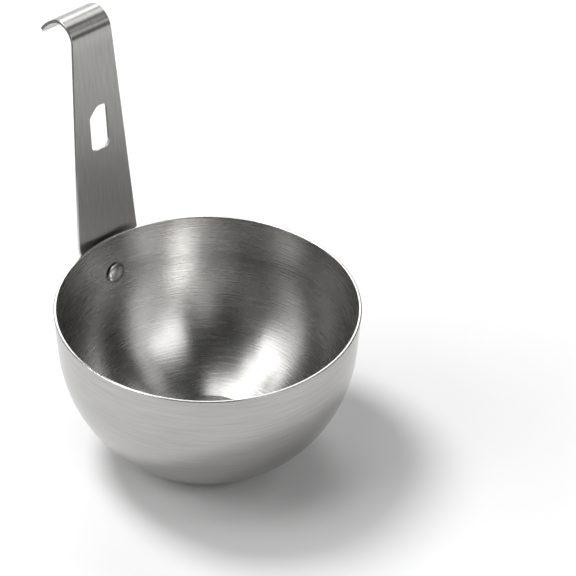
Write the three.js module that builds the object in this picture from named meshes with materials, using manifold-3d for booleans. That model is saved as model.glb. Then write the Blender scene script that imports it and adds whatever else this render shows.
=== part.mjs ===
// Egg poacher cup: a drawn bowl, a hooked strap handle, and the rivet that joins them.
// Millimetres, +Z up. The origin is the centre of the base underside, and the handle stands at +Y.

import * as THREE from 'three';
import { mergeVertices } from 'three/addons/utils/BufferGeometryUtils.js';
import Module from 'manifold-3d';

const { clamp, degToRad, lerp, smoothstep } = THREE.MathUtils;

// Bowl
const rimRadius = 42.5; // outside of the lip
const bowlDepth = 47; // lip to the underside of the base
const rimFlare = 0.95; // how far the lip stands out past the round part
const wall = 0.9;
const baseRadius = 18.5; // where the round part would meet the flat base
const baseFillet = 2; // outside edge of the base
const lipRound = 0.25; // both edges of the lip

// Handle strap, whose lengths run along the strap from the level of the lip
const strap = 1; // sheet thickness
const widthAtLip = 20.6;
const widthAtHook = 13.5;
const hookStart = 64.2;
const hookRadius = 5.6; // the face towards the bowl, on the outside of the bend
const hookTurn = degToRad(115);
const hookTip = 9.7; // length past the bend, which curves on gently
const tipRadius = 18;
const tipCorner = 2;
const tabDrop = 19; // down to the lower end of the tab
const tabCorner = 6;
const tabForm = 6; // length in which the flat strap takes the curve of the wall
const lipGap = 0.9; // strap to lip, in the middle of the strap

// Hanging slot
const slotStart = 28.5;
const slotWidth = 6.1;
const slotLength = 13.9;
const slotSlopeWidth = 2.75; // sloped upper corner
const slotSlopeLength = 2.9;
const slotCorner = 1.7;
const slotSlopeCorner = 0.8;

// Rivet
const rivetDrop = 11.8; // lip to its centre, along the wall
const shankRadius = 1.6;
const headRadius = 3; // domed head inside the bowl
const headHeight = 0.7;
const tailRadius = 2.7; // upset head outside the tab
const tailHeight = 0.9;

// Clearance of the strap to the wall, of both rivet heads to their seats and of the shank to its holes
const clearance = 0.3;

// Facets
const bowlSides = 72;
const rivetSides = 24;
const bowlSteps = 14;
const edgeSteps = 3; // lip and base fillet
const roundSteps = 6;
const hookSteps = 14;
const tipSteps = 4;
const strapSteps = 10;
const cutMargin = 2; // how far a cutter runs past what it cuts

const wasm = await Module();
wasm.setup();

// A closed geometry as a solid that can be cut.
function solidOf(geometry) {
  geometry.deleteAttribute('normal');
  geometry.deleteAttribute('uv');
  const merged = mergeVertices(geometry, 1e-4);
  return new wasm.Manifold(new wasm.Mesh({
    numProp: 3,
    vertProperties: new Float32Array(merged.attributes.position.array),
    triVerts: new Uint32Array(merged.index.array),
  }));
}

// What is left of a geometry once the cutters are taken out of it.
function cut(geometry, ...cutters) {
  const body = cutters.reduce((left, cutter) => left.subtract(solidOf(cutter)), solidOf(geometry));
  const mesh = body.getMesh();
  const result = new THREE.BufferGeometry();
  result.setAttribute('position', new THREE.BufferAttribute(mesh.vertProperties, 3));
  result.setIndex(new THREE.BufferAttribute(mesh.triVerts, 1));
  return result;
}

const heading = (angle) => new THREE.Vector2(Math.cos(angle), Math.sin(angle));

function arc(centre, radiusX, radiusY, from, to, steps) {
  return new THREE.EllipseCurve(centre.x, centre.y, radiusX, radiusY, from, to, to < from).getPoints(steps);
}

// Half section of the bowl, as distance from the axis and height. The round part has one centre. The
// straight wall leaves it at a tangent and leans out to the lip.
const roundRadius = rimRadius - rimFlare;
const roundCentre = new THREE.Vector2(0, Math.sqrt(roundRadius ** 2 - baseRadius ** 2));
const lip = new THREE.Vector2(rimRadius, bowlDepth);
const lipReach = lip.distanceTo(roundCentre);
const lean = Math.acos(roundRadius / lipReach) - Math.atan2(lip.y - roundCentre.y, lip.x);
const wallLength = Math.sqrt(lipReach ** 2 - roundRadius ** 2);

// The place on the outside of the wall at a length below the lip, and the direction out of it. A length
// above the lip carries the straight wall on upwards.
function wallAt(drop) {
  const roundTurn = Math.max(drop - wallLength, 0) / roundRadius;
  const outward = heading(-lean - roundTurn);
  const point = roundCentre.clone().addScaledVector(outward, roundRadius);
  point.addScaledVector(heading(Math.PI / 2 - lean), Math.max(wallLength - drop, 0));
  return { point, outward };
}

// Sets a shape made about the origin on the wall at a length below the lip: its X stays level, its Y
// points out of the wall and its Z up along it.
function ontoWall(geometry, drop) {
  const { point, outward } = wallAt(drop);
  const frame = new THREE.Matrix4().makeBasis(
    new THREE.Vector3(1, 0, 0),
    new THREE.Vector3(0, outward.x, outward.y),
    new THREE.Vector3(0, -outward.y, outward.x),
  );
  return geometry.applyMatrix4(frame.setPosition(0, point.x, point.y));
}

// The bowl turned from its section: up the outside, over the lip and down the inside.
function bowl() {
  const innerRadius = roundRadius - wall;
  const floorAngle = -Math.asin((roundCentre.y - wall) / innerRadius);
  const filletReach = Math.sqrt((roundRadius - baseFillet) ** 2 - (roundCentre.y - baseFillet) ** 2);
  const fillet = new THREE.Vector2(filletReach, baseFillet);
  const filletAngle = Math.atan2(baseFillet - roundCentre.y, filletReach);
  const lipInner = rimRadius - wall / Math.cos(lean);
  const lipLevel = bowlDepth - lipRound;
  const outerLip = rimRadius - lipRound * (1 + Math.sin(lean)) / Math.cos(lean);
  const innerLip = lipInner + lipRound * (1 - Math.sin(lean)) / Math.cos(lean);
  const quarter = Math.PI / 2;
  const section = [
    new THREE.Vector2(0, 0),
    ...arc(fillet, baseFillet, baseFillet, -quarter, filletAngle, edgeSteps).slice(0, -1),
    ...arc(roundCentre, roundRadius, roundRadius, filletAngle, -lean, bowlSteps),
    ...arc(new THREE.Vector2(outerLip, lipLevel), lipRound, lipRound, -lean, quarter, edgeSteps),
    ...arc(new THREE.Vector2(innerLip, lipLevel), lipRound, lipRound, quarter, Math.PI - lean, edgeSteps),
    ...arc(roundCentre, innerRadius, innerRadius, -lean, floorAngle, bowlSteps),
    new THREE.Vector2(0, wall),
  ];
  return new THREE.LatheGeometry(section, bowlSides).rotateX(Math.PI / 2);
}

// The strap is a tapered strip: flat above the lip, bent over into the hook, and formed round the wall at
// the tab.
const hookEnd = hookStart + hookRadius * hookTurn;
const strapEnd = hookEnd + hookTip;
const formed = (along) => smoothstep(-along, 0, tabForm);

function halfWidth(along) {
  const corner = (left, radius) => radius - Math.sqrt(radius ** 2 - Math.max(radius - left, 0) ** 2);
  const width = lerp(widthAtLip, widthAtHook, clamp(along / hookStart, 0, 1));
  return width / 2 - corner(along + tabDrop, tabCorner) - corner(strapEnd - along, tipCorner);
}

// The middle of the strap's face towards the bowl in the half section, and the direction into the sheet.
function strapAt(along) {
  const { point, outward } = wallAt(-Math.min(along, hookStart));
  point.addScaledVector(outward, lerp(lipGap, clearance, formed(along)));
  if (along <= hookStart) return { point, outward };
  const turn = Math.min((along - hookStart) / hookRadius, hookTurn);
  const inward = heading(-lean - turn);
  point.addScaledVector(outward, hookRadius).addScaledVector(inward, -hookRadius);
  if (along <= hookEnd) return { point, outward: inward };
  const inwardAtTip = heading(-lean - hookTurn - (along - hookEnd) / tipRadius);
  point.addScaledVector(inward, tipRadius).addScaledVector(inwardAtTip, -tipRadius);
  return { point, outward: inwardAtTip };
}

function strapPoint(along, across, depth) {
  const { point, outward } = strapAt(along);
  const angle = across / point.x;
  point.addScaledVector(outward, depth);
  const flat = new THREE.Vector3(across, point.x, point.y);
  const round = new THREE.Vector3(point.x * Math.sin(angle), point.x * Math.cos(angle), point.y);
  return flat.lerp(round, formed(along));
}

// Lengths at which the strap gets a cross section, closer together where it bends or rounds off.
function strapStations() {
  const even = (from, to, steps) => Array.from({ length: steps }, (_, i) => lerp(from, to, i / steps));
  const corner = (end, radius) =>
    even(0, Math.PI / 2, roundSteps).map((turn) => end + radius * (1 - Math.cos(turn)));
  return [
    ...corner(-tabDrop, tabCorner),
    ...even(tabCorner - tabDrop, -tabForm, strapSteps / 2),
    ...even(-tabForm, 0, strapSteps),
    ...even(0, hookStart, strapSteps),
    ...even(hookStart, hookEnd, hookSteps),
    ...even(hookEnd, strapEnd - tipCorner, tipSteps),
    strapEnd - tipCorner,
    ...corner(strapEnd, -tipCorner).reverse(),
  ];
}

// Each cross section is a ring of points: across the face towards the bowl and back along the other face.
function strapBlank() {
  const stations = strapStations();
  const ring = 2 * (strapSteps + 1);
  const positions = stations.flatMap((along) => {
    const face = Array.from({ length: strapSteps + 1 }, (_, i) => halfWidth(along) * (2 * i / strapSteps - 1));
    const back = face.toReversed();
    return [
      ...face.flatMap((across) => strapPoint(along, across, 0).toArray()),
      ...back.flatMap((across) => strapPoint(along, across, strap).toArray()),
    ];
  });
  const index = [];
  const quad = (a, b, c, d) => index.push(a, b, c, a, c, d);
  for (let i = 0; i < stations.length - 1; i += 1) {
    const low = i * ring;
    for (let k = 0; k < ring; k += 1) {
      const next = (k + 1) % ring;
      quad(low + k, low + next, low + ring + next, low + ring + k);
    }
  }
  const top = ring * (stations.length - 1);
  for (let k = 0; k < strapSteps; k += 1) {
    const far = ring - 1 - k;
    quad(far, far - 1, k + 1, k);
    quad(top + k, top + k + 1, top + far - 1, top + far);
  }
  const geometry = new THREE.BufferGeometry();
  geometry.setAttribute('position', new THREE.Float32BufferAttribute(positions, 3));
  geometry.setIndex(index);
  return geometry;
}

// The slot's outline has rounded corners, each given with the length that the round takes off its sides.
function slotCutter() {
  const half = slotWidth / 2;
  const slotEnd = slotStart + slotLength;
  const corners = [
    [-half, slotStart, slotCorner],
    [half, slotStart, slotCorner],
    [half, slotEnd, slotCorner],
    [slotSlopeWidth - half, slotEnd, slotSlopeCorner],
    [-half, slotEnd - slotSlopeLength, slotSlopeCorner],
  ];
  const outline = new THREE.Shape();
  corners.forEach(([x, y, round], i) => {
    const corner = new THREE.Vector2(x, y);
    const [before, after] = [i + corners.length - 1, i + 1].map((k) => {
      const [nextX, nextY] = corners[k % corners.length];
      return new THREE.Vector2(nextX, nextY).sub(corner).setLength(round).add(corner);
    });
    if (i === 0) outline.moveTo(before.x, before.y);
    else outline.lineTo(before.x, before.y);
    outline.quadraticCurveTo(x, y, after.x, after.y);
  });
  const depth = strap + 2 * cutMargin;
  const cutter = new THREE.ExtrudeGeometry(outline, { depth, bevelEnabled: false, curveSegments: roundSteps });
  cutter.rotateX(Math.PI / 2).translate(0, lipGap + strap + cutMargin, 0);
  return ontoWall(cutter, 0);
}

// The rivet's line starts at the outside of the wall and runs out through the tab.
const tabFace = clearance + strap;

function rivetHole() {
  const length = wall + tabFace + 2 * cutMargin;
  const radius = shankRadius + clearance;
  const hole = new THREE.CylinderGeometry(radius, radius, length, rivetSides);
  return ontoWall(hole.translate(0, (tabFace - wall) / 2, 0), rivetDrop);
}

// The head stands off by the hollow of the wall across it, so that its edge is clear at both sides.
function rivetBody() {
  const curve = wallAt(rivetDrop).point.x - wall;
  const hollow = curve - Math.sqrt(curve ** 2 - headRadius ** 2);
  const headSeat = new THREE.Vector2(0, -wall - hollow - clearance);
  const tailSeat = new THREE.Vector2(0, tabFace + clearance);
  const section = [
    ...arc(headSeat, headRadius, headHeight, -Math.PI / 2, 0, roundSteps),
    new THREE.Vector2(shankRadius, headSeat.y),
    new THREE.Vector2(shankRadius, tailSeat.y),
    ...arc(tailSeat, tailRadius, tailHeight, 0, Math.PI / 2, roundSteps),
  ];
  return ontoWall(new THREE.LatheGeometry(section, rivetSides), rivetDrop);
}

function piece(name, geometry, color, roughness) {
  const mesh = new THREE.Mesh(geometry, new THREE.MeshStandardMaterial({ color, roughness, metalness: 1 }));
  mesh.name = name;
  geometry.computeVertexNormals();
  return mesh;
}

const poacherCup = new THREE.Group();
poacherCup.add(
  piece('cup', cut(bowl(), rivetHole()), 0xb4b3b0, 0.34),
  piece('handle', cut(strapBlank(), slotCutter(), rivetHole()), 0xa9a8a5, 0.38),
  piece('rivet', rivetBody(), 0xbdbcb9, 0.26),
);

export default poacherCup;
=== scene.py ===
from math import acos, asin, atan2, cos, hypot, pi, radians, sin, sqrt

import bmesh
import bpy
from mathutils import Matrix, Quaternion, Vector


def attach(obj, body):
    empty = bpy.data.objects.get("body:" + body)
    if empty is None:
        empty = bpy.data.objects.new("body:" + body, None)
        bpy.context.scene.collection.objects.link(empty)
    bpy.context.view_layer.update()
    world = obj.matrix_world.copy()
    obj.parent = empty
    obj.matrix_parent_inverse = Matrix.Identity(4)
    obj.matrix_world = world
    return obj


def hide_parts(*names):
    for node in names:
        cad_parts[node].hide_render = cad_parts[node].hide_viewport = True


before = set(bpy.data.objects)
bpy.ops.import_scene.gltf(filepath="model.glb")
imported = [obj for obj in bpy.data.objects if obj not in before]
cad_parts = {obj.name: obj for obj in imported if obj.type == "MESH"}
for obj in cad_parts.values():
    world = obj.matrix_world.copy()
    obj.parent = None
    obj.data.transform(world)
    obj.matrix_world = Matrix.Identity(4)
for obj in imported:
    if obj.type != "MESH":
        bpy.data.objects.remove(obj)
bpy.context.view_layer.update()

# Camera. A long lens a little over a metre away, above and to the left of the handle, tipped a little to
# one side. It looks into the bowl and onto the face of the strap.
camera_place = Vector((-0.56512, -0.66736, 0.71428))
camera_target = Vector((0.01680, -0.01423, 0.05322))
camera_roll = radians(0.84)
camera_lens = 249.57
camera_reach = 20

scene = bpy.context.scene
camera = bpy.data.objects.new("camera", bpy.data.cameras.new("camera"))
camera.data.lens = camera_lens
camera.data.clip_end = camera_reach
camera.location = camera_place
camera.rotation_mode = "QUATERNION"
camera.rotation_quaternion = (
    (camera_target - camera_place).to_track_quat("-Z", "Y") @ Quaternion((0, 0, 1), camera_roll)
)
scene.collection.objects.link(camera)
scene.camera = camera
scene.view_settings.view_transform = "Standard"


# Cup. A blank of thin stainless sheet is drawn into a deep bowl and spun true: a round lower part, a
# straight wall that flares a little to a plain trimmed lip, and a flat base. One hole takes the rivet.
mm = 0.001
rim_radius = 42.5 * mm
bowl_depth = 47 * mm
rim_flare = 0.95 * mm
wall = 0.9 * mm
base_radius = 18.5 * mm
base_fillet = 2 * mm
lip_round = 0.25 * mm
clearance = 0.3 * mm
rivet_drop = 11.8 * mm
shank_radius = 1.6 * mm

fillet_steps = 8
bowl_steps = 56
lip_steps = 6
cup_turn_steps = 240
merge_distance = 1e-7
drill_length = 12 * mm
plain_sharp = 20

round_radius = rim_radius - rim_flare
round_height = sqrt(round_radius**2 - base_radius**2)
round_centre = Vector((0, 0, round_height))
lip_reach = hypot(rim_radius, bowl_depth - round_height)
lean = acos(round_radius / lip_reach) - atan2(bowl_depth - round_height, rim_radius)
wall_length = sqrt(lip_reach**2 - round_radius**2)


def heading(angle):
    """A direction in the half section: outwards at zero, upwards at a quarter turn."""
    return Vector((0, cos(angle), sin(angle)))


def wall_at(drop):
    """The outside of the wall at a length below the lip, and the direction out of it."""
    outward = heading(-lean - max(drop - wall_length, 0) / round_radius)
    upward = heading(pi / 2 - lean) * max(wall_length - drop, 0)
    return round_centre + outward * round_radius + upward, outward


def line_to(bm, vert, point):
    """Carries a profile on in a straight line, and gives its new end."""
    end = bmesh.ops.extrude_vert_indiv(bm, verts=[vert])["verts"][0]
    end.co = point
    return end


def arc_to(bm, vert, centre, angle, steps):
    """Carries a profile on round a centre, and gives its new end."""
    swept = bmesh.ops.spin(bm, geom=[vert], cent=centre, axis=(1, 0, 0), angle=angle, steps=steps)
    return swept["geom_last"][0]


def revolve(bm, steps):
    """Turns a profile about the upright axis into a closed skin."""
    bmesh.ops.spin(
        bm, geom=bm.verts[:] + bm.edges[:], cent=(0, 0, 0), axis=(0, 0, 1), angle=2 * pi, steps=steps,
        use_merge=True,
    )
    bmesh.ops.remove_doubles(bm, verts=bm.verts, dist=merge_distance)
    bmesh.ops.recalc_face_normals(bm, faces=bm.faces)


def make_piece(bm, name, sharp=plain_sharp):
    """A finished piece from its bmesh, smooth but for edges that turn by more than sharp, in degrees."""
    mesh = bpy.data.meshes.new(name)
    bm.to_mesh(mesh)
    bm.free()
    piece = bpy.data.objects.new(name, mesh)
    scene.collection.objects.link(piece)
    mesh.shade_smooth()
    mesh.set_sharp_from_angle(angle=radians(sharp))
    return piece


def drill(piece, place, direction, radius, sides=48):
    """Takes a round hole out of a piece. No corner of the drill falls on the middle line of the piece."""
    turned = direction.to_track_quat("Z", "X") @ Quaternion((0, 0, 1), pi / sides)
    bm = bmesh.new()
    bmesh.ops.create_cone(
        bm, cap_ends=True, segments=sides, radius1=radius, radius2=radius, depth=drill_length,
        matrix=Matrix.Translation(place) @ turned.to_matrix().to_4x4(),
    )
    drill_bit = make_piece(bm, "drill_bit")
    cut = piece.modifiers.new("hole", "BOOLEAN")
    cut.object = drill_bit
    bored = bpy.data.meshes.new_from_object(piece.evaluated_get(bpy.context.evaluated_depsgraph_get()))
    piece.modifiers.clear()
    blank, piece.data = piece.data, bored
    bpy.data.meshes.remove(blank)
    bpy.data.objects.remove(drill_bit)
    bored.name = piece.name
    bored.set_sharp_from_angle(angle=radians(plain_sharp))


floor_angle = -asin((round_height - wall) / (round_radius - wall))
fillet_reach = sqrt((round_radius - base_fillet) ** 2 - (round_height - base_fillet) ** 2)
fillet_angle = atan2(base_fillet - round_height, fillet_reach)
lip_level = bowl_depth - lip_round
outer_lip = Vector((0, rim_radius - lip_round * (1 + sin(lean)) / cos(lean), lip_level))
inner_lip = Vector((0, rim_radius - (wall - lip_round * (1 - sin(lean))) / cos(lean), lip_level))

bm = bmesh.new()
end = bm.verts.new((0, 0, 0))
end = line_to(bm, end, (0, fillet_reach, 0))
end = arc_to(bm, end, (0, fillet_reach, base_fillet), fillet_angle + pi / 2, fillet_steps)
end = arc_to(bm, end, round_centre, -lean - fillet_angle, bowl_steps)
end = line_to(bm, end, outer_lip + heading(-lean) * lip_round)
end = arc_to(bm, end, outer_lip, pi / 2 + lean, lip_steps)
end = line_to(bm, end, inner_lip + heading(pi / 2) * lip_round)
end = arc_to(bm, end, inner_lip, pi / 2 - lean, lip_steps)
end = line_to(bm, end, round_centre + heading(-lean) * (round_radius - wall))
end = arc_to(bm, end, round_centre, floor_angle + lean, bowl_steps)
line_to(bm, end, (0, 0, wall))
revolve(bm, cup_turn_steps)
outside = bm.verts.layers.float.new("outside")
for vert in bm.verts:
    vert[outside] = vert.normal.dot(vert.co - round_centre) > 0
cup = make_piece(bm, "cup_bowl")
rivet_place, rivet_line = wall_at(rivet_drop)
drill(cup, rivet_place, rivet_line, shank_radius + clearance)
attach(cup, "root")
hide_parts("cup")


class Value:
    """A number or colour that varies over a surface. Sums on it add their own nodes."""

    def __init__(self, finish, socket):
        self.finish = finish
        self.socket = socket

    def math(self, operation, *values):
        """Adds one sum, by the name of its operation."""
        return self.finish.node("ShaderNodeMath", {"operation": operation}, dict(enumerate(values)))

    def __add__(self, other):
        return self.math("ADD", self, other)

    def __sub__(self, other):
        return self.math("SUBTRACT", self, other)

    def __rsub__(self, other):
        return self.math("SUBTRACT", other, self)

    def __mul__(self, other):
        return self.math("MULTIPLY", self, other)

    def __truediv__(self, other):
        return self.math("DIVIDE", self, other)

    def __pow__(self, other):
        return self.math("POWER", self, other)

    __radd__ = __add__
    __rmul__ = __mul__


class Finish:
    """A material built from nodes around one shader."""

    def __init__(self, name, **constants):
        self.material = bpy.data.materials.new(name)
        self.material.use_nodes = True
        self.tree = self.material.node_tree
        self.shader = self.tree.nodes["Principled BSDF"]
        self.surface(**constants)

    def node(self, kind, settings=None, values=None, output=0):
        """Adds a node: its kind, its settings, and the values or links of its sockets."""
        made = self.tree.nodes.new(kind)
        for name, setting in (settings or {}).items():
            setattr(made, name, setting)
        for key, value in (values or {}).items():
            self.feed(made.inputs[key], value)
        return Value(self, made.outputs[output])

    def feed(self, socket, value):
        """Links a varying value to a socket, or sets a plain one on it."""
        if isinstance(value, Value):
            self.tree.links.new(value.socket, socket)
        else:
            socket.default_value = value

    def surface(self, **values):
        """Feeds the shader's own sockets, by their names in small letters."""
        for socket, value in values.items():
            self.feed(self.shader.inputs[socket.replace("_", " ").title()], value)

    def place(self, axes, source, settings=None, output=0):
        """The coordinates of a surface along the axes that are asked for."""
        whole = self.node(source, settings, output=output)
        return [self.node("ShaderNodeSeparateXYZ", values={0: whole}, output=axis) for axis in axes]

    def noise(self, first, second, third=0, **values):
        """Smooth noise over three coordinates, about one unit to a grain."""
        where = self.node("ShaderNodeCombineXYZ", values={0: first, 1: second, 2: third})
        settings = {name.title(): value for name, value in values.items()}
        return self.node("ShaderNodeTexNoise", values={"Vector": where, "Scale": 1, **settings})

    def blend(self, share, first, second):
        """The first colour where share is zero, the second where it is one."""
        return self.node("ShaderNodeMix", {"data_type": "RGBA"}, {0: share, 6: first, 7: second}, 2)

    def ramp(self, value, start, end):
        """Zero at start, one at end, and held beyond them."""
        return self.node("ShaderNodeMapRange", values={0: value, 1: start, 2: end})

    def bump(self, height, distance):
        """A normal for a surface that stands up by distance where height is one."""
        return self.node("ShaderNodeBump", values={"Height": height, "Distance": distance, "Strength": 1})


# Spinning leaves fine rings round the axis. The outside is smoother and better polished, and its colour
# carries painted shade that darkens it a little.
ring_pitch = 0.6 * mm
ring_turn = 3.2
ring_depth = 0.02 * mm
ring_dark = (0.42, 0.415, 0.405, 1)
ring_light = (0.58, 0.575, 0.565, 1)
ring_roughness = 0.04
inner_roughness = 0.25
black = (0, 0, 0, 1)
outer_painted_shade = 0.12
outer_polish = 0.06
outer_smoothing = 0.6

spun_steel = Finish("spun_steel", metallic=1, anisotropic=0.65, anisotropic_rotation=0.25)
outer = spun_steel.node("ShaderNodeAttribute", {"attribute_name": "outside"}, output="Fac")
x, y, z = spun_steel.place("XYZ", "ShaderNodeTexCoord", output="Object")
from_axis = (x * x + y * y) ** 0.5
down = from_axis.math("ARCTAN2", from_axis, round_height - z) * round_radius
rings = spun_steel.noise(down / ring_pitch, x / from_axis * ring_turn, y / from_axis * ring_turn, detail=1)
ringed = spun_steel.blend(rings, ring_dark, ring_light)
spun_steel.surface(
    # Painted shade: the outside's colour is blended a little towards black.
    base_color=spun_steel.blend(outer * outer_painted_shade, ringed, black),
    roughness=inner_roughness + rings * ring_roughness - outer * outer_polish,
    normal=spun_steel.bump(rings, ring_depth * (1 - outer * outer_smoothing)),
)
cup.data.materials.append(spun_steel.material)


# Handle. One strap of flat stainless sheet, cut to a taper and pierced, bent over at the top into an open
# hook, and formed at its lower end into a tab that follows the round of the bowl. Its edges are tumbled.
strap = 1 * mm
width_at_lip = 20.6 * mm
width_at_hook = 13.5 * mm
hook_start = 64.2 * mm
hook_radius = 5.6 * mm
hook_turn = radians(115)
hook_tip = 9.7 * mm
tip_radius = 18 * mm
tip_corner = 2 * mm
tab_drop = 19 * mm
tab_corner = 6 * mm
tab_form = 6 * mm
lip_gap = 0.9 * mm
slot_start = 28.5 * mm
slot_width = 6.1 * mm
slot_length = 13.9 * mm
slot_slope_width = 2.75 * mm
slot_slope_length = 2.9 * mm
slot_corner = 1.7 * mm
slot_slope_corner = 0.8 * mm
strap_edge = 0.2 * mm

corner_steps = 8
edge_steps = 3
hole_sides = 40
tab_scores = 28
hook_scores = 40
tip_scores = 14
cross_scores = 24
square_radians = 1
sliver = 1e-6
uv_unit = 100 * mm

hook_end = hook_start + hook_radius * hook_turn
strap_end = hook_end + hook_tip


def formed(along):
    """How far the strap has taken the curve of the bowl, from none at the lip to all of it at the tab."""
    share = min(max(-along / tab_form, 0), 1)
    return share * share * (3 - 2 * share)


def strap_at(along):
    """The middle of the strap's face towards the bowl in the half section, and the way into the sheet."""
    point, outward = wall_at(-min(along, hook_start))
    point = point + outward * (lip_gap + (clearance - lip_gap) * formed(along))
    if along <= hook_start:
        return point, outward
    turn = min((along - hook_start) / hook_radius, hook_turn)
    inward = heading(-lean - turn)
    point = point + (outward - inward) * hook_radius
    if along <= hook_end:
        return point, inward
    inward_at_tip = heading(-lean - hook_turn - (along - hook_end) / tip_radius)
    return point + (inward - inward_at_tip) * tip_radius, inward_at_tip


def bent(flat):
    """Where a point of the flat blank, across, along and into the sheet, ends up on the bent strap."""
    across, along, depth = flat
    point, inward = strap_at(along)
    angle = across / point.y
    point = point + inward * depth
    straight = Vector((across, point.y, point.z))
    wrapped = Vector((point.y * sin(angle), point.y * cos(angle), point.z))
    return straight.lerp(wrapped, formed(along))


def outline(bm, corners):
    """A flat closed outline. Each corner is its place across and along, and how far its round reaches."""
    face = bm.faces.new([bm.verts.new((across, along, 0)) for across, along, _ in corners])
    for corner, (_, _, reach) in zip(list(face.verts), corners):
        if reach:
            bmesh.ops.bevel(
                bm, geom=[corner], offset=reach, affect="VERTICES", segments=corner_steps, profile=0.5,
                material=-1,
            )


def score(bm, places, direction):
    """Cuts lines across a flat blank, so that it can bend there."""
    for place in places:
        bmesh.ops.bisect_plane(
            bm, geom=bm.verts[:] + bm.edges[:] + bm.faces[:], dist=merge_distance,
            plane_co=direction * place, plane_no=direction,
        )


def spaced(start, end, steps):
    """Even places from start to end, with both ends."""
    return [start + (end - start) * i / steps for i in range(steps + 1)]


lip_half = width_at_lip / 2
hook_half = width_at_hook / 2
slot_half = slot_width / 2
slot_end = slot_start + slot_length
bm = bmesh.new()
outline(bm, [
    (-lip_half, -tab_drop, tab_corner),
    (lip_half, -tab_drop, tab_corner),
    (lip_half, 0, 0),
    (hook_half, hook_start, 0),
    (hook_half, strap_end, tip_corner),
    (-hook_half, strap_end, tip_corner),
    (-hook_half, hook_start, 0),
    (-lip_half, 0, 0),
])
outline(bm, [
    (-slot_half, slot_start, slot_corner),
    (slot_half, slot_start, slot_corner),
    (slot_half, slot_end, slot_corner),
    (slot_slope_width - slot_half, slot_end, slot_slope_corner),
    (-slot_half, slot_end - slot_slope_length, slot_slope_corner),
])
bmesh.ops.create_circle(
    bm, segments=hole_sides, radius=shank_radius + clearance,
    matrix=Matrix.Translation((0, -rivet_drop, 0)),
)
bmesh.ops.delete(bm, geom=bm.faces[:], context="FACES_ONLY")
bmesh.ops.triangle_fill(bm, use_beauty=True, edges=bm.edges[:], normal=(0, 0, 1))
lifted = bmesh.ops.extrude_face_region(bm, geom=bm.faces[:])["geom"]
bmesh.ops.translate(bm, verts=[v for v in lifted if isinstance(v, bmesh.types.BMVert)], vec=(0, 0, strap))
bmesh.ops.recalc_face_normals(bm, faces=bm.faces)
square_edges = [
    e for e in bm.edges
    if e.calc_face_angle() > square_radians and e.verts[0].co.z == e.verts[1].co.z
]
bmesh.ops.bevel(
    bm, geom=square_edges, offset=strap_edge, affect="EDGES", segments=edge_steps, profile=0.5, material=-1
)
score(bm, spaced(-tab_drop, 0, tab_scores)[1:], Vector((0, 1, 0)))
score(bm, spaced(hook_start, hook_end, hook_scores), Vector((0, 1, 0)))
score(bm, spaced(hook_end, strap_end, tip_scores)[1:-1], Vector((0, 1, 0)))
score(bm, spaced(-lip_half, lip_half, cross_scores)[1:-1], Vector((1, 0, 0)))
bmesh.ops.dissolve_degenerate(bm, dist=sliver, edges=bm.edges[:])
brushed = bm.loops.layers.uv.new("along_strap")
# The faces that stand across the sheet are its sheared edges, and take the second material.
for face in bm.faces:
    face.material_index = abs(face.normal.z) < 0.5
    for loop in face.loops:
        loop[brushed].uv = loop.vert.co.xy / uv_unit
for vert in bm.verts:
    vert.co = bent(vert.co)
bmesh.ops.recalc_face_normals(bm, faces=bm.faces)
handle = make_piece(bm, "handle_strap", sharp=12)
# The sheen is stretched round the upright axis of the texture space, which is put on the axis of the cup.
handle.data.use_auto_texspace = False
handle.data.texspace_location = (0, 0, 0)
handle.data.texspace_size = (1, 1, 1)
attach(handle, "root")
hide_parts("handle")

# The faces are brushed along the strap. The hook is smoother than the flat.
brush_pitch = 0.15 * mm
brush_length = 9 * mm
brush_depth = 0.006 * mm
streak_pitch = 0.6 * mm
strap_dark = (0.33, 0.325, 0.315, 1)
strap_light = (0.57, 0.565, 0.555, 1)
flat_roughness = 0.47
streak_roughness = 0.1
hook_polish = 0.19
hook_smoothing = 0.8
polish_start = 60 * mm
polish_end = 66 * mm

brushed_steel = Finish("brushed_steel", metallic=1, anisotropic=0.7)
u, v = brushed_steel.place("XY", "ShaderNodeUVMap", {"uv_map": "along_strap"})
along = v * (uv_unit / brush_length)
brushing = brushed_steel.noise(u * (uv_unit / brush_pitch), along, detail=1)
streaks = brushed_steel.noise(u * (uv_unit / streak_pitch), along, detail=3, roughness=0.6)
hook_share = brushed_steel.ramp(v, polish_start / uv_unit, polish_end / uv_unit)
brushed_steel.surface(
    base_color=brushed_steel.blend(streaks, strap_dark, strap_light),
    roughness=flat_roughness + streaks * streak_roughness - hook_share * hook_polish,
    normal=brushed_steel.bump(brushing, brush_depth * (1 - hook_share * hook_smoothing)),
)
handle.data.materials.append(brushed_steel.material)

# The sheared edges are dull and dark, lighter low on the strap and a little lighter in the slot, with a
# painted highlight at the foot of the slot.
edge_dark = (0.12, 0.12, 0.115, 1)
edge_light = (0.6, 0.595, 0.585, 1)
edge_roughness = 0.3
grain_roughness = 0.2
grain_share = 0.2
lightening_start = 25 * mm
lightening_end = 2 * mm
slot_reach_start = 6 * mm
slot_reach_end = 4 * mm
foot_start = 31 * mm
foot_end = 29.5 * mm
slot_lightening = 0.05
foot_painted_highlight = 0.8

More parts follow.
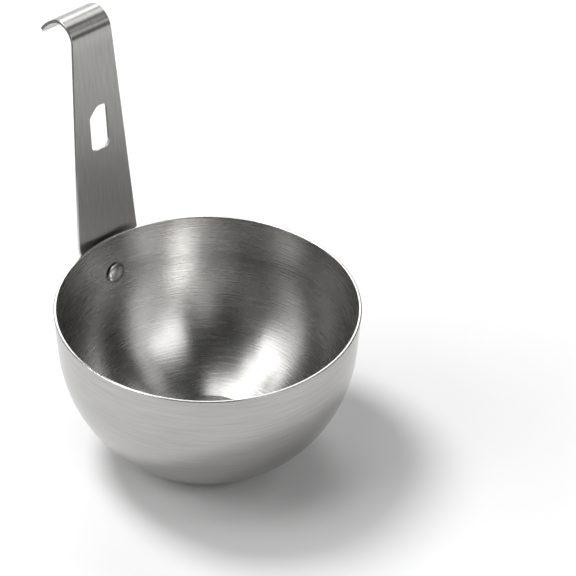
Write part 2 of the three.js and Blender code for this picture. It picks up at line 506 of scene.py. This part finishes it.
sheared_steel = Finish("sheared_steel", metallic=1)
u, v = sheared_steel.place("XY", "ShaderNodeUVMap", {"uv_map": "along_strap"})
grain = sheared_steel.noise(u * (uv_unit / streak_pitch), v * (uv_unit / streak_pitch), detail=3)
low = sheared_steel.ramp(v, lightening_start / uv_unit, lightening_end / uv_unit)
in_slot = sheared_steel.ramp(u.math("ABSOLUTE", u), slot_reach_start / uv_unit, slot_reach_end / uv_unit)
at_foot = sheared_steel.ramp(v, foot_start / uv_unit, foot_end / uv_unit)
# Painted highlight at the foot of the slot; the rest only makes the colour lighter low on the strap and in
# the slot.
lightening_and_painted_highlight = low + in_slot * (slot_lightening + at_foot * foot_painted_highlight) + (grain - 0.5) * grain_share
sheared_steel.surface(
    base_color=sheared_steel.blend(lightening_and_painted_highlight, edge_dark, edge_light),
    roughness=edge_roughness + grain * grain_roughness,
)
handle.data.materials.append(sheared_steel.material)


# Rivet. One solid stainless rivet through the wall and the tab, with a low domed head inside the cup and an
# upset head outside.
head_radius = 3 * mm
head_height = 0.7 * mm
tail_radius = 2.7 * mm
tail_height = 0.9 * mm
dome_steps = 16
rivet_turn_steps = 64

inner_curve = rivet_place.y - wall
head_seat = -wall - clearance - (inner_curve - sqrt(inner_curve**2 - head_radius**2))
tail_seat = clearance + strap + clearance


def dome_to(bm, vert, seat, radius, height, start):
    """Carries a profile over a quarter of a flattened round, and gives its new end."""
    for turn in spaced(start, start + pi / 2, dome_steps):
        vert = line_to(bm, vert, (0, radius * cos(turn), seat + height * sin(turn)))
    return vert


bm = bmesh.new()
end = bm.verts.new((0, 0, head_seat - head_height))
end = dome_to(bm, end, head_seat, head_radius, head_height, -pi / 2)
end = line_to(bm, end, (0, shank_radius, head_seat))
end = line_to(bm, end, (0, shank_radius, tail_seat))
dome_to(bm, end, tail_seat, tail_radius, tail_height, 0)
revolve(bm, rivet_turn_steps)
bmesh.ops.transform(
    bm, verts=bm.verts,
    matrix=Matrix.Translation(rivet_place) @ rivet_line.to_track_quat("Z", "X").to_matrix().to_4x4(),
)
rivet = make_piece(bm, "rivet_body", sharp=40)
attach(rivet, "root")
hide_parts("rivet")

# The heads are bright, with the faint dimples of the hammer.
dimple_pitch = 1.2 * mm
dimple_depth = 0.02 * mm
dimple_roughness = 0.16
rivet_roughness = 0.2
rivet_dark = (0.46, 0.455, 0.445, 1)
rivet_light = (0.6, 0.595, 0.585, 1)

bright_steel = Finish("bright_steel", metallic=1)
x, y, z = bright_steel.place("XYZ", "ShaderNodeTexCoord", output="Object")
dimples = bright_steel.noise(x / dimple_pitch, y / dimple_pitch, z / dimple_pitch, detail=2)
bright_steel.surface(
    base_color=bright_steel.blend(dimples, rivet_dark, rivet_light),
    roughness=rivet_roughness + dimples * dimple_roughness,
    normal=bright_steel.bump(dimples, dimple_depth),
)
rivet.data.materials.append(bright_steel.material)


# Studio. A wide sheet of white paper carries the cup and its shadow, and goes over to plain white far from
# it. Soft round panels light the steel from all sides, and hardly any light comes from elsewhere.
floor_half = 6
sweep_start = 0.4
sweep_end = 1.6
white = (1, 1, 1, 1)
paper_white = (0.9, 0.9, 0.9, 1)
backlight = (0.01, 0.01, 0.01, 1)
panel_aim = Vector((0, 0, 0.05))
panel_distance = 1.4

floor = bpy.data.objects.new("floor", bpy.data.meshes.new("floor"))
bm = bmesh.new()
bmesh.ops.create_grid(bm, x_segments=1, y_segments=1, size=floor_half)
bm.to_mesh(floor.data)
bm.free()
scene.collection.objects.link(floor)
# Far from the cup the paper glows, for the camera and in reflections only.
paper = Finish("white_paper", base_color=paper_white, roughness=1, emission_strength=1)
x, y = paper.place("XY", "ShaderNodeTexCoord", output="Object")
far = paper.ramp((x * x + y * y) ** 0.5, sweep_start, sweep_end)
seen = paper.node("ShaderNodeLightPath", output="Is Camera Ray")
mirrored = paper.node("ShaderNodeLightPath", output="Is Glossy Ray")
paper.surface(emission_color=paper.blend(far * (seen + mirrored), black, white))
paper.material.cycles.emission_sampling = "NONE"
floor.data.materials.append(paper.material)


def panel(name, azimuth, elevation, width, height, level):
    """A soft round light that faces the cup. At level one it is as bright as white paper."""
    lamp = bpy.data.objects.new(name, bpy.data.lights.new(name, "AREA"))
    lamp.data.shape = "ELLIPSE"
    lamp.data.size = width
    lamp.data.size_y = height
    area = pi / 4 * width * height
    lamp.data.energy = level * pi * area
    turn, rise = radians(azimuth), radians(elevation)
    outward = Vector((cos(rise) * cos(turn), cos(rise) * sin(turn), sin(rise)))
    lamp.location = panel_aim + outward * panel_distance
    lamp.rotation_mode = "QUATERNION"
    lamp.rotation_quaternion = (-outward).to_track_quat("-Z", "Y")
    lamp.visible_camera = False
    scene.collection.objects.link(lamp)


panel("back_high", 106, 62, 0.4, 0.6, 21)
panel("left_back", 130, 35, 0.4, 0.4, 3.4)
panel("left_low", 156, 32, 0.9, 0.45, 4)
panel("left_mid", 160, 50, 0.7, 0.45, 2.6)
panel("left_top", 150, 70, 0.5, 0.4, 2.5)
panel("top", 180, 82, 0.4, 0.4, 3)
panel("right_high", 20, 60, 0.7, 0.4, 3)
panel("right_mid", 57, 35, 0.7, 0.45, 4.2)
panel("right_low", 60, 13, 0.5, 0.3, 2.5)
panel("right_side", 345, 40, 0.4, 0.4, 2)
panel("front_right", 312, 48, 0.5, 0.4, 0.9)
panel("front_side", 300, 32, 0.4, 0.3, 1.2)
panel("front", 272, 36, 0.85, 0.5, 2.7)
panel("front_low", 262, 22, 0.5, 0.3, 2.6)
world = bpy.data.worlds.new("world")
scene.world = world
world.use_nodes = True
world.node_tree.nodes["Background"].inputs["Color"].default_value = backlight
